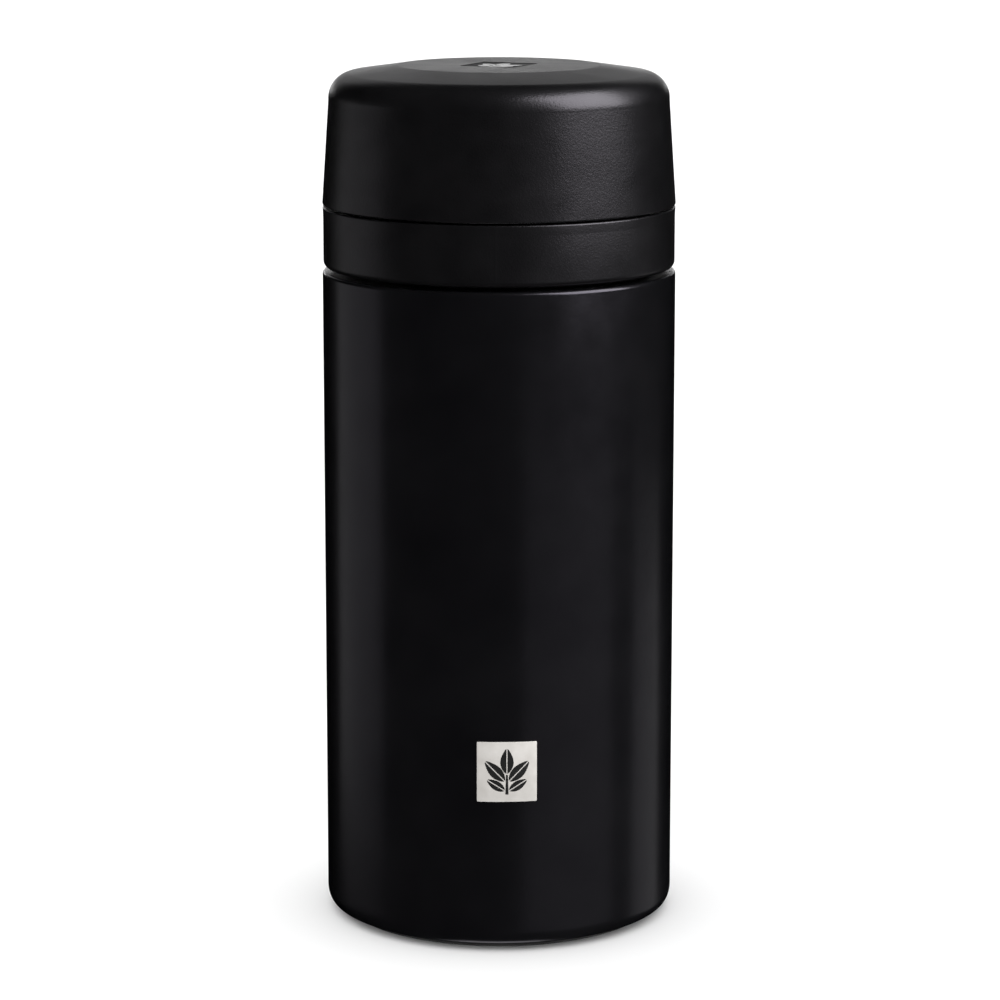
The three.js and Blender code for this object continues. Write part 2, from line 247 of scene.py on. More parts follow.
class Look:
    """A node material built step by step. Sizes of patterns are in millimetres."""

    def __init__(self, name, color, roughness, metallic=0.0, **sockets):
        self.material = bpy.data.materials.new(name)
        self.material.use_nodes = True
        self.tree = self.material.node_tree
        self.shader = self.tree.nodes["Principled BSDF"]
        self.shader.inputs["Base Color"].default_value = (*color, 1)
        self.shader.inputs["Roughness"].default_value = roughness
        self.shader.inputs["Metallic"].default_value = metallic
        for socket, value in sockets.items():
            self.shader.inputs[socket.replace("_", " ")].default_value = value
        coordinates = self.tree.nodes.new("ShaderNodeTexCoord")
        self.place = coordinates.outputs["Object"]
        self.normal = None

    def link(self, output, node, socket):
        self.tree.links.new(output, node.inputs[socket])

    def noise(self, size, detail=2.0, stretch=(1, 1, 1), distortion=0.0):
        """Noise with features of about that size, longer along an axis where stretch is above 1."""
        scaled = self.tree.nodes.new("ShaderNodeMapping")
        scaled.vector_type = "TEXTURE"
        scaled.inputs["Scale"].default_value = [size * MM * s for s in stretch]
        self.link(self.place, scaled, "Vector")
        noise = self.tree.nodes.new("ShaderNodeTexNoise")
        noise.inputs["Scale"].default_value = 1.0
        noise.inputs["Detail"].default_value = detail
        noise.inputs["Distortion"].default_value = distortion
        self.link(scaled.outputs[0], noise, "Vector")
        return noise.outputs["Fac"]

    def cells(self, size):
        """Rounded cells of about that size: the distance to the nearest of scattered points."""
        scaled = self.tree.nodes.new("ShaderNodeMapping")
        scaled.vector_type = "TEXTURE"
        scaled.inputs["Scale"].default_value = [size * MM] * 3
        self.link(self.place, scaled, "Vector")
        cells = self.tree.nodes.new("ShaderNodeTexVoronoi")
        cells.inputs["Scale"].default_value = 1.0
        self.link(scaled.outputs[0], cells, "Vector")
        return cells.outputs["Distance"]

    def turning_marks(self, size, along_axis=True):
        """Fine lines round the axis, as a lathe or a polishing wheel leaves: noise over height or over
        radius."""
        parts = self.tree.nodes.new("ShaderNodeSeparateXYZ")
        self.link(self.place, parts, "Vector")
        if along_axis:
            measure = parts.outputs["Z"]
        else:
            flat = self.tree.nodes.new("ShaderNodeCombineXYZ")
            self.link(parts.outputs["X"], flat, "X")
            self.link(parts.outputs["Y"], flat, "Y")
            length = self.tree.nodes.new("ShaderNodeVectorMath")
            length.operation = "LENGTH"
            self.link(flat.outputs[0], length, 0)
            measure = length.outputs["Value"]
        scaled = self.tree.nodes.new("ShaderNodeMath")
        scaled.operation = "DIVIDE"
        scaled.inputs[1].default_value = size * MM
        self.link(measure, scaled, 0)
        noise = self.tree.nodes.new("ShaderNodeTexNoise")
        noise.noise_dimensions = "1D"
        noise.inputs["Scale"].default_value = 1.0
        noise.inputs["Detail"].default_value = 3.0
        self.link(scaled.outputs[0], noise, "W")
        return noise.outputs["Fac"]

    def between(self, fac, low, high, from_low=0.3, from_high=0.7):
        """The pattern fac, spread from its usual values to the range from low to high."""
        spread = self.tree.nodes.new("ShaderNodeMapRange")
        spread.inputs["From Min"].default_value = from_low
        spread.inputs["From Max"].default_value = from_high
        spread.inputs["To Min"].default_value = low
        spread.inputs["To Max"].default_value = high
        self.link(fac, spread, "Value")
        return spread.outputs["Result"]

    def color(self, fac, dark, light, from_low=0.3, from_high=0.7):
        mix = self.tree.nodes.new("ShaderNodeMix")
        mix.data_type = "RGBA"
        mix.inputs["A"].default_value = (*dark, 1)
        mix.inputs["B"].default_value = (*light, 1)
        self.link(self.between(fac, 0, 1, from_low, from_high), mix, "Factor")
        self.link(mix.outputs["Result"], self.shader, "Base Color")

    def roughness(self, fac, low, high):
        self.link(self.between(fac, low, high), self.shader, "Roughness")

    def bump(self, height, depth):
        """Raises the surface by the height pattern, that many millimetres deep."""
        bump = self.tree.nodes.new("ShaderNodeBump")
        bump.inputs["Strength"].default_value = 1.0
        bump.inputs["Distance"].default_value = depth * MM
        self.link(height, bump, "Height")
        if self.normal:
            self.link(self.normal, bump, "Normal")
        self.normal = bump.outputs["Normal"]
        self.link(self.normal, self.shader, "Normal")


def powder_coat():
    """Matt black powder coat: a soft orange peel with a fine grain over it."""
    look = Look("powder_coat", (0.0022, 0.0022, 0.0025), 0.23, IOR=1.5, Specular_Tint=(0.9, 0.84, 1, 1))
    look.color(look.noise(14), (0.0018, 0.0018, 0.0021), (0.0027, 0.0027, 0.003))
    look.roughness(look.noise(6, 3), 0.21, 0.25)
    look.bump(look.noise(1.6, 1), 0.012)
    look.bump(look.noise(0.7, 1), 0.008)
    look.bump(look.noise(0.35, 2), 0.01)
    return look.material


def moulded_plastic(name, grain, low, high):
    """Black polypropylene from a spark-eroded mould, faintly smeared by handling."""
    look = Look(name, (0.008, 0.008, 0.0085), high, IOR=1.52, Specular_Tint=(0.95, 0.9, 1, 1))
    look.color(look.noise(9), (0.002, 0.002, 0.0022), (0.0032, 0.0032, 0.0034))
    look.roughness(look.noise(11, 3, (1, 1, 0.5), 0.6), low, high)
    look.bump(look.noise(grain * 2, 2), 0.018)
    look.bump(look.noise(grain, 2), 0.016)
    look.bump(look.cells(grain * 1.7), 0.006)
    return look.material


def silicone():
    look = Look("black_silicone", (0.011, 0.011, 0.012), 0.62, IOR=1.43)
    look.color(look.noise(5), (0.009, 0.009, 0.0095), (0.016, 0.016, 0.0165))
    look.bump(look.noise(0.5, 2), 0.008)
    return look.material


def clear_silicone():
    look = Look("clear_silicone", (0.62, 0.62, 0.6), 0.38, IOR=1.43, Transmission_Weight=0.25)
    look.shader.inputs["Subsurface Weight"].default_value = 0.4
    look.shader.inputs["Subsurface Radius"].default_value = (0.002, 0.002, 0.0018)
    look.color(look.noise(4), (0.56, 0.56, 0.54), (0.68, 0.68, 0.655))
    look.bump(look.noise(0.6, 2), 0.006)
    return look.material


def stainless(name, along_axis):
    """Spun or polished steel. Its fine lines vary with height on walls, and with radius on discs."""
    low, high = 0.24, 0.36
    look = Look(name, (0.6, 0.59, 0.57), high, 1.0)
    marks = look.turning_marks(0.16, along_axis)
    look.color(look.noise(12, 3), (0.54, 0.53, 0.51), (0.64, 0.63, 0.61))
    look.roughness(marks, low, high)
    look.bump(marks, 0.002)
    return look.material


def copper():
    look = Look("copper_foil", (0.75, 0.42, 0.28), 0.24, 1.0)
    look.color(look.noise(8, 3), (0.68, 0.36, 0.22), (0.8, 0.47, 0.32))
    look.bump(look.cells(3.5), 0.12)
    look.bump(look.noise(1.2, 3), 0.04)
    return look.material


def solder_glass():
    look = Look("solder_glass", (0.18, 0.24, 0.2), 0.12, IOR=1.6)
    look.color(look.noise(0.8, 3), (0.13, 0.18, 0.15), (0.24, 0.31, 0.26))
    look.bump(look.noise(0.7, 1), 0.03)
    return look.material


def sintered():
    look = Look("getter_metal", (0.16, 0.15, 0.14), 0.75, 0.5)
    look.color(look.noise(0.3, 3), (0.11, 0.1, 0.095), (0.21, 0.2, 0.19))
    look.bump(look.cells(0.25), 0.04)
    return look.material


def foam():
    look = Look("foam", (0.8, 0.79, 0.74), 0.9)
    look.color(look.cells(1.1), (0.7, 0.69, 0.64), (0.84, 0.83, 0.78), 0.1, 0.6)
    look.bump(look.cells(1.1), 0.25)
    return look.material


def nickel_silver():
    """Pale satin metal with fine upright brushing."""
    look = Look("nickel_silver", (0.74, 0.71, 0.67), 0.5, 0.45)
    brushed = look.noise(0.12, 3, (1, 1, 18))
    look.color(look.noise(3, 2), (0.5, 0.48, 0.455), (0.58, 0.56, 0.535))
    look.roughness(brushed, 0.44, 0.56)
    look.bump(brushed, 0.003)
    return look.material


def enamel(name, color, roughness):
    look = Look(name, color, roughness, IOR=1.52, Coat_Weight=0.5)
    look.shader.inputs["Coat Roughness"].default_value = 0.08
    look.color(look.noise(2, 2), tuple(c * 0.85 for c in color), tuple(c * 1.15 for c in color))
    look.bump(look.noise(0.9, 1), 0.004)
    return look.material


POWDER = powder_coat()
MATT = moulded_plastic("matt_plastic", 0.3, 0.29, 0.34)
INNER_PLASTIC = moulded_plastic("inner_plastic", 0.22, 0.26, 0.32)
SILICONE = silicone()
CLEAR = clear_silicone()
STEEL_WALL = stainless("steel_wall", True)
STEEL_DISC = stainless("steel_disc", False)
NICKEL = nickel_silver()

# ---------- The bottle ----------

FOOT_CENTRE = (SHELL_R - FOOT_RX, SHELL_BOTTOM + FOOT_RZ)
NECK_RIDGES = {"low": SHOULDER + 1.9, "high": SHOULDER + 6.5, "offset": SHOULDER}


def foot_corner(inset, count=12):
    """The rounded lower corner of the shell, or of a layer inside it."""
    return arc(FOOT_CENTRE, (FOOT_RX - inset, FOOT_RZ - inset), -90, 0, count)


def outer_shell():
    """The painted shell, bare inside and on its neck."""
    roll, fillet, chamfer = 0.25, 0.7, 0.2
    top = SHOULDER - TOP_ROUND
    neck_foot = SHOULDER + fillet
    outline = [
        *arc((FLANGE_R + roll, SHELL_BOTTOM + roll), (roll, roll), 180, 270, 5),
        *foot_corner(0),
        *along((SHELL_R, FOOT_CENTRE[1] + 1), (SHELL_R, top), 12),
        *arc((SHELL_R - TOP_ROUND, top), (TOP_ROUND, TOP_ROUND), 0, 90, 10),
        *arc((NECK_OUTER + fillet, neck_foot), (fillet, fillet), 270, 180, 6),
        *along((NECK_OUTER, neck_foot + 0.1), (NECK_OUTER, NECK_TOP - chamfer - 0.1), 0.12),
        (NECK_OUTER, NECK_TOP - chamfer),
        (NECK_OUTER - chamfer, NECK_TOP),
        (NECK_INNER, NECK_TOP),
        (NECK_INNER, SHOULDER - SHELL_WALL),
        (SHELL_R - TOP_ROUND, SHOULDER - SHELL_WALL),
        (SHELL_R - SHELL_WALL, top),
        *reversed(foot_corner(SHELL_WALL)),
        (FLANGE_R + roll, SHELL_BOTTOM + SHELL_WALL),
    ]

    def neck_thread(angle, radius, height):
        if radius == NECK_OUTER:
            radius += ridge(angle, height, **NECK_RIDGES)
        return radius, height

    shell = turned("outer_shell_painted", outline, neck_thread)
    finish_piece(shell, "flask", "outer_shell", "powder_coat", POWDER, STEEL_WALL)
    for face in shell.data.polygons:
        middle = face.center / MM
        bare_neck = middle.z > SHOULDER - 0.1 and hypot(middle.x, middle.y) < NECK_OUTER + 1.5
        faces_inward = face.normal.xy.dot(middle.xy) < -0.5 * hypot(middle.x, middle.y)
        if bare_neck or faces_inward:
            face.material_index = 1


def inner_bottle():
    """The steel bottle that holds the drink, with a low ridge pressed up in its floor."""
    radius, bottom, lip_top = extent("inner_bottle")
    wall, corner, shoulder, neck_foot = 0.5, 6, 128.5, 133.7
    neck_outer, neck_inner, lip = 29.1, 28.3, 0.8
    ridge_r, ridge_half, rise = 20.7, 0.8, 0.4
    inside = bottom + wall
    outline = rounded(
        [
            (0, bottom),
            (radius, bottom, corner),
            (radius, shoulder, 4),
            (neck_outer, neck_foot, 2),
            (neck_outer, lip_top - lip),
            (NECK_OUTER, lip_top - lip, 0.3),
            (NECK_OUTER, lip_top, 0.35),
            (neck_inner, lip_top, 0.4),
            (neck_inner, neck_foot - wall, 2),
            (radius - wall, shoulder - wall, 4),
            (radius - wall, inside, corner - wall),
            (ridge_r + ridge_half, inside, 0.8),
            (ridge_r, inside + rise, 0.6),
            (ridge_r - ridge_half, inside, 0.8),
            (0, inside),
        ]
    )
    piece = turned("inner_bottle_steel", outline)
    finish_piece(piece, "flask", "inner_bottle", "steel", STEEL_WALL)


def radiation_foil():
    """Crinkled foil, wrapped once round with a lapped edge."""
    radius, bottom, top = extent("radiation_foil")
    inner, lap, lap_angle = radius - 0.16, 0.08, 0.3
    corners = [(inner, bottom), (radius - lap, bottom), (radius - lap, top), (inner, top)]
    outline = dense(dense(corners, radius - lap, 6), inner, 6)

    def lapped(angle, r, z):
        wrinkle = 0.02 * sin(9 * angle + z / 5) * sin(z / 3 + 4 * angle)
        edge = lap - 0.02 if 2 * pi - angle < lap_angle and r > inner else 0
        return r + wrinkle + edge, z

    piece = turned("foil_wrap", outline, lapped)
    finish_piece(piece, "flask", "radiation_foil", "copper_foil", copper())


def outer_base():
    """The pressed base of the outer wall, raised in the middle round its evacuation hole."""
    inset, wall = SHELL_WALL + FIT, 0.5
    floor, rim = SHELL_BOTTOM + inset, SHELL_R - inset
    top = extent("outer_base")[2]
    hole, dimple, dimple_foot, rise = 1.2, 6, 8, 1.45
    outline = rounded(
        [
            (hole, floor + rise, 0.1),
            (dimple, floor + rise, 0.8),
            (dimple_foot, floor, 0.8),
            *foot_corner(inset),
            (rim, top, 0.2),
            (rim - wall, top, 0.2),
            *reversed(foot_corner(inset + wall)),
            (dimple_foot + wall, floor + wall, 0.8),
            (dimple + wall, floor + rise + wall, 0.8),
            (hole, floor + rise + wall, 0.1),
        ],
        4,
    )
    piece = turned("outer_base_pressed", outline, angles=even_angles(96))
    finish_piece(piece, "flask", "outer_base", "steel", STEEL_DISC)


def sealing_bead():
    """A drop of glass that melted over the evacuation hole."""
    radius, bottom, top = extent("sealing_bead")
    corners = [
        (0, bottom),
        (radius * 0.62, bottom, 0.4),
        (radius, top - 0.35, 0.3),
        (radius * 0.9, top, 0.15),
        (0, top),
    ]
    piece = turned("sealing_bead_glass", rounded(corners), angles=even_angles(48))
    finish_piece(piece, "flask", "sealing_bead", "solder_glass", solder_glass())


def getter():
    """A sintered tablet in a bent steel clip."""
    low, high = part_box("getter_pellet")
    centre = (low + high) / (2 * MM)
    radius, bottom, top = (high.x - low.x) / 2 / MM, low.z / MM, high.z / MM
    outline = rounded([(0, bottom), (radius, bottom, 0.3), (radius, top, 0.3), (0, top)])
    tablet = turned("getter_tablet", outline, angles=even_angles(48))
    tablet.data.transform(Matrix.Translation((centre.x * MM, 0, 0)))
    finish_piece(tablet, "flask", "getter_pellet", "getter_metal", sintered())

    low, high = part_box("getter_bracket")
    wall, bend = 0.4, 0.5
    half, length, height = (high.x - low.x) / 2 / MM, (high.y - low.y) / MM, (high.z - low.z) / MM
    section = rounded(
        [
            (-half, 0, bend),
            (half, 0, bend),
            (half, height),
            (half - wall, height),
            (half - wall, wall, bend - wall / 2),
            (wall - half, wall, bend - wall / 2),
            (wall - half, height),
            (-half, height),
        ],
        4,
    )
    count = len(section)
    places = [(x, y, z) for y in (-length / 2, length / 2) for x, z in section]
    sides = [(i, (i + 1) % count, count + (i + 1) % count, count + i) for i in range(count)]
    ends = [tuple(range(count))[::-1], tuple(range(count, 2 * count))]
    clip = new_object("getter_clip", places, sides + ends)
    clip.data.transform(Matrix.Translation(((low.x + high.x) / 2, 0, low.z)))
    outward_faces(clip)
    finish_piece(clip, "flask", "getter_bracket", "steel", STEEL_DISC)


def base_cover():
    """A thin disc with a dished middle that hides the base."""
    radius, bottom, top = extent("base_cover")
    dish, rise = 23, 0.25
    corners = [
        (0, bottom + rise),
        (dish - 0.4, bottom + rise, 0.6),
        (dish + 0.4, bottom, 0.6),
        (radius, bottom, 0.15),
        (radius, top, 0.1),
        (dish, top, 0.3),
        (dish - 0.8, top - 0.02, 0.3),
        (0, top - 0.02),
    ]
    finish_piece(turned("base_cover_disc", rounded(corners)), "flask", "base_cover", "steel", STEEL_DISC)


def foot_ring():
    """The ring that the flask stands on, with fine grooves in its sole."""
    radius, bottom, top = extent("foot_ring")
    inner, groove, deep = 27, 0.22, 0.25
    sole = [(inner, bottom, 0.5)]
    for r in (28.7, 29.9, 31.1):
        sole += [(r - groove, bottom), (r - groove / 2, bottom + deep)]
        sole += [(r + groove / 2, bottom + deep), (r + groove, bottom)]
    corners = [*sole, (radius, bottom, 0.5), (radius, top, 0.15), (inner, top, 0.15)]
    finish_piece(turned("foot_ring_silicone", rounded(corners)), "flask", "foot_ring", "silicone", SILICONE)


# ---------- Badges ----------


def prisms(name, polygons, bottom, top, bevel=0.0, cuts=()):
    """Flat solids from outlines in millimetres, from height bottom to top, as one mesh. cuts are places
    in x where they get an extra edge, so that they can be bent."""
    form = bmesh.new()
    for polygon in polygons:
        face = form.faces.new([form.verts.new((x * MM, y * MM, bottom * MM)) for x, y in polygon])
        raised = bmesh.ops.extrude_face_region(form, geom=[face])["geom"]
        moved = [v for v in raised if isinstance(v, bmesh.types.BMVert)]
        bmesh.ops.translate(form, verts=moved, vec=(0, 0, (top - bottom) * MM))
    bmesh.ops.recalc_face_normals(form, faces=form.faces)
    if bevel:
        upper = [e for e in form.edges if all(abs(v.co.z - top * MM) < 1e-7 for v in e.verts)]
        bmesh.ops.bevel(form, geom=upper, offset=bevel * MM, segments=3, profile=0.5, affect="EDGES")
    for x in cuts:
        geometry = [*form.verts, *form.edges, *form.faces]
        place, across = (x * MM, 0, 0), (1, 0, 0)
        bmesh.ops.bisect_plane(form, geom=geometry, dist=1e-7, plane_co=place, plane_no=across)
    return object_of(name, form)


def square(width, height, corner):
    """A rectangle about the origin, with rounded corners."""
    signs = ((-1, -1), (1, -1), (1, 1), (-1, 1))
    return rounded([(x * width / 2, y * height / 2, corner) for x, y in signs], 5)


def leaf(base, tip, width, vein=0.2, count=16):
    """Two halves of a pointed leaf, either side of a narrow vein."""
    start, end = Vector(base), Vector(tip)
    way = end - start
    across = Vector((-way.y, way.x)).normalized()
    halves = []
    for side in (1, -1):
        edge = [start + way * t + across * side * vein / 2 for t in (0.0, 0.97)]
        curve = []
        for i in range(1, count):
            t = 1 - i / count
            belly = sin(pi * t**0.85) ** 0.9
            curve.append(start + way * t + across * side * (vein / 2 + (width - vein) / 2 * belly))
        halves.append([tuple(p) for p in (*edge, *curve)][:: side])
    return halves


def sprig(scale=1.0):
    """The generic mark on both badges: a tea sprig of five leaves on a stem."""
    stem = [(-0.32, -4.7), (0.32, -4.7), (0.2, -0.6), (-0.2, -0.6)]
    leaves = [
        *leaf((0, -0.4), (0, 5.0), 2.7),
        *leaf((-0.45, -1.9), (-4.5, 2.3), 2.5),
        *leaf((0.45, -1.9), (4.5, 2.3), 2.5),
        *leaf((-0.45, -3.9), (-4.1, -1.6), 1.9),
        *leaf((0.45, -3.9), (4.1, -1.6), 1.9),
    ]
    return [[(x * scale, y * scale) for x, y in polygon] for polygon in (stem, *leaves)]


def bend_to_shell(obj, middle):
    """Bends a flat piece, drawn in x and y and standing up in z, round the front of the shell."""
    for vertex in obj.data.vertices:
        x, y, z = vertex.co
        radius = SHELL_R * MM + z
        angle = x / (SHELL_R * MM)
        vertex.co = (radius * sin(angle), -radius * cos(angle), middle + y)
    outward_faces(obj)


def front_badge():
    """A thin metal plate that follows the shell, with the mark in black enamel."""
    low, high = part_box("badge")
    width, height, middle = (high.x - low.x) / MM, (high.z - low.z) / MM, (low.z + high.z) / 2
    glue, top, spacing = 0.02, 0.2, 0.5
    cuts = [i * spacing - width / 2 for i in range(1, ceil(width / spacing))]
    plate = prisms("badge_plate", [square(width, height, 0.22)], glue, top, 0.09, cuts)
    bend_to_shell(plate, middle)
    finish_piece(plate, "flask", "badge", "badge_metal", NICKEL)
    mark = prisms("badge_mark", sprig(), top - 0.05, top + 0.015, 0, cuts)
    bend_to_shell(mark, middle)
    mark.data.materials.append(enamel("black_enamel", (0.008, 0.008, 0.008), 0.35))
    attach(mark, "flask")


# ---------- The collar ----------

SKIRT_INNER = 31.6
SPOUT_OUTER = 28.6
SPOUT_INNER = 25.8
TUBE_OUTER = 27.9
TUBE_INNER = 26.6


def collar_gasket():
    """A flat seal with a lip against the lip of the bottle."""
    radius, bottom, top = extent("collar_gasket")
    inner, lip = 28.4, 0.35
    corners = [
        (inner, bottom + lip, 0.15),
        (inner + 0.7, bottom, 0.25),
        (radius - 0.3, bottom, 0.15),
        (radius, bottom + lip, 0.15),
        (radius, top - lip, 0.15),
        (radius - 0.3, top, 0.15),
        (inner + 0.7, top, 0.25),
        (inner, top - lip, 0.15),
    ]
    piece = turned("collar_gasket_silicone", rounded(corners, 4))
    finish_piece(piece, "collar_seal", "collar_gasket", "clear_silicone", CLEAR)


def collar_sleeve():
    """The matt ring under the cap, with the fine parting lines of its two-part mould."""
    radius, bottom, top = extent("collar_sleeve")
    waist, inner, lip_inner, lip = radius - 0.1, 35, 33, 1.45
    flash, half_width = 0.012, 0.0025
    parting = (-0.063, pi - 0.063)
    angles = angles_with(parting, (half_width / 2, half_width, half_width * 2))
    corners = [
        (inner, bottom, 0.2),
        (waist, bottom, 1.3),
        (waist, top - lip - 0.6, 6),
        (radius, top, 0.32),
        (lip_inner, top, 0.3),
        (lip_inner, top - lip),
        (inner, top - lip),
    ]

    def with_flash(angle, r, z):
        off = min(abs((angle - place + pi) % (2 * pi) - pi) for place in parting)
        on_face = r > waist - 0.05 and bottom + 1 < z < top - 0.2
        return r + (flash * smooth(1 - off / (2 * half_width)) if on_face else 0), z

    piece = turned("collar_sleeve_matt", rounded(corners, 8), with_flash, angles)
    finish_piece(piece, "collar", "collar_sleeve", "matt_plastic", MATT)


def collar_core():
    """The moulded collar: a threaded skirt, a tube for the strainer, and a spout threaded outside."""
    radius, skirt_bottom, spout_top = extent("collar_core")
    step, top = 32.7, extent("collar_sleeve")[2]
    web, tube_bottom, ledge = SHOULDER + 11.2, SHOULDER + 1.9, SHOULDER + 12.4
    corners = [
        (SKIRT_INNER, skirt_bottom, 0.3),
        (radius, skirt_bottom, 0.3),
        (radius, web + 0.3),
        (step, web + 0.3),
        (step, top, 0.25),
        (SPOUT_OUTER, top, 0.5),
        (SPOUT_OUTER, spout_top, 1.15),
        (SPOUT_INNER, spout_top, 1.25),
        (SPOUT_INNER, ledge, 0.15),
        (TUBE_INNER, ledge),
        (TUBE_INNER, tube_bottom, 0.4),
        (TUBE_OUTER, tube_bottom, 0.4),
        (TUBE_OUTER, web, 0.4),
        (SKIRT_INNER, web, 0.3),
    ]
    outline = dense(dense(rounded(corners), SKIRT_INNER), SPOUT_OUTER)
    skirt = {"low": SHOULDER + 2.5, "high": SHOULDER + 7.8, "offset": SHOULDER + PITCH / 2}
    spout = {"low": SHOULDER + 16.1, "high": SHOULDER + 22.5, "offset": top}

    def threads(angle, r, z):
        if abs(r - SKIRT_INNER) < 1e-6 and z < web:
            return r - ridge(angle, z, **skirt), z
        if abs(r - SPOUT_OUTER) < 1e-6:
            return r + ridge(angle, z, **spout), z
        return r, z

    piece = turned("collar_core_moulded", outline, threads)
    finish_piece(piece, "collar", "collar_core", "inner_plastic", INNER_PLASTIC)


# ---------- The strainer ----------


def on_turn(angle, r, z):
    return Vector((r * sin(angle), -r * cos(angle), z)) * MM


def perforated_wall(form, radius, low, columns, rows, pitch, hole):
    """A turned band of sheet with round holes in staggered rows. Each cell is a square of 3 by 3 steps."""
    border = [(-1.5 + i, -1.5) for i in range(3)] + [(1.5, -1.5 + i) for i in range(3)]
    border += [(-x, -y) for x, y in border]
    step = 2 * pi / columns / 3
    for row in range(rows):
        for column in range(columns):
            angle, height = (column + row % 2 / 2) * 3 * step, low + (row + 0.5) * pitch
            outer, inner = [], []
            for x, y in border:
                outer.append(form.verts.new(on_turn(angle + x * step, radius, height + y * pitch / 3)))
                way = atan2(y * pitch, x * step * 3 * radius)
                round_hole = angle + hole * cos(way) / radius, radius, height + hole * sin(way)
                inner.append(form.verts.new(on_turn(*round_hole)))
            for i in range(len(border)):
                j = (i + 1) % len(border)
                form.faces.new((outer[i], outer[j], inner[j], inner[i]))


def plain_sheet(form, points, angles):
    """Turned stretches of plain sheet through (radius, height) points."""
    rings = [[form.verts.new(on_turn(a, r, z)) for a in angles] for r, z in points]
    for lower, upper in zip(rings, rings[1:]):
        for i in range(len(angles)):
            j = (i + 1) % len(angles)
            form.faces.new((lower[i], lower[j], upper[j], upper[i]))


def perforated_disc(form, radius, height, angles, pitch, hole):
    """A flat disc of sheet with round holes in staggered rows."""

    def loop(points):
        made = [form.verts.new(p) for p in points]
        return [form.edges.new((a, b)) for a, b in zip(made, made[1:] + made[:1])]

    edges = loop([on_turn(a, radius, height) for a in angles])
    reach = ceil(radius / pitch)
    for row in range(-reach, reach + 1):
        for column in range(-reach, reach + 1):
            x, y = (column + row % 2 / 2) * pitch, row * pitch * sin(pi / 3)
            if hypot(x, y) < radius - 1.2:
                rim = [(x + hole * cos(a), y + hole * sin(a), height) for a in even_angles(12)]
                edges += loop([Vector(point) * MM for point in rim])
    bmesh.ops.triangle_fill(form, use_beauty=True, edges=edges)


def strainer_basket():
    """A deep cup of perforated steel sheet with a turned-out rim."""
    rim, bottom, top = extent("strainer_basket")
    sheet, hole, columns, rows, pitch, corner = 0.4, 0.6, 56, 19, 2.4, 1.8
    radius, floor = 24.6 - sheet / 2, bottom + sheet / 2
    band = floor + corner + 0.6
    upper = band + rows * pitch
    flange = top - sheet / 2
    angles = [2 * pi * i / (3 * columns) for i in range(3 * columns)]
    shifted = [a + pi / (3 * columns) for a in angles]
    form = bmesh.new()
    perforated_wall(form, radius, band, columns, rows, pitch, hole)
    bend = arc((radius - corner, floor + corner), (corner, corner), -90, 0, 8)
    plain_sheet(form, [(radius - corner - 0.6, floor), *bend, (radius, band)], shifted)
    roll = arc((radius + 0.6, flange - 0.6), (0.6, 0.6), 180, 90, 5)
    curl = arc((rim - 0.55, flange - 0.35), (0.35, 0.35), 90, -60, 6)
    plain_sheet(form, [(radius, upper), *roll, *curl], shifted if rows % 2 else angles)
    perforated_disc(form, radius - corner - 0.6, floor, shifted, 2.6, hole)
    bmesh.ops.remove_doubles(form, verts=form.verts, dist=2e-6)
    bmesh.ops.recalc_face_normals(form, faces=form.faces)
    cup = object_of("strainer_cup", form)
    solid = cup.modifiers.new("sheet", "SOLIDIFY")
    solid.thickness = sheet * MM
    solid.offset = 0
    apply_modifiers(cup)
    finish_piece(cup, "strainer", "strainer_basket", "steel", STEEL_WALL)


def strainer_seal():
    """A silicone sleeve round the top of the strainer, with two ribs that grip the tube."""
    radius, bottom, top = extent("strainer_seal")
    inner, valley, rib = 24.9, radius - 0.35, 0.7
    outline = [(inner, bottom, 0.3), (valley, bottom, 0.3)]
    for place in (bottom + 0.5, top - 0.5 - 2 * rib):
        outline += [(valley, place), (radius, place + rib, 0.4), (valley, place + 2 * rib)]
    outline += [(valley, top, 0.3), (inner, top, 0.3)]
    piece = turned("strainer_seal_silicone", rounded(outline, 5))
    finish_piece(piece, "strainer", "strainer_seal", "clear_silicone", CLEAR)


# ---------- The cap ----------

CAP_R, CAP_BOTTOM, CAP_TOP = extent("cap_shell")
CAP_WALL = 1.8
TOP_WALL = 1.9
DISC_R = 20.8
BADGE_TURN = radians(-27)


def cap_badge_side():
    """Side of the square badge on the cap, from the box round it as it lies turned."""
    low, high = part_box("cap_badge")
    return (high.x - low.x) / MM / (abs(cos(BADGE_TURN)) + abs(sin(BADGE_TURN)))


def cap_gasket():
    """A seal that presses on the rim of the spout, with a drip lip each side."""
    radius, bottom, top = extent("cap_gasket")
    inner, rib = 25.4, 0.5
    middle = (inner + radius) / 2
    corners = [
        (inner, bottom, 0.25),
        (middle - 1, bottom, 0.25),
        (middle - 0.7, bottom + rib, 0.25),
        (middle + 0.7, bottom + rib, 0.25),
        (middle + 1, bottom, 0.25),
        (radius, bottom, 0.25),
        (radius, top, 0.4),
        (inner, top, 0.4),
    ]
    piece = turned("cap_gasket_silicone", rounded(corners, 4))
    finish_piece(piece, "cap_seal", "cap_gasket", "clear_silicone", CLEAR)


def crown(inset):
    """The outline of the cap's top from its tapered side to its sloping rim, drawn in by the wall inset."""
    curve, centre, taper, slope = 5.32 - inset, (29.73, CAP_BOTTOM + 21.77), 3.7, 75.7
    return arc(centre, (curve, curve), -taper, slope, 24)


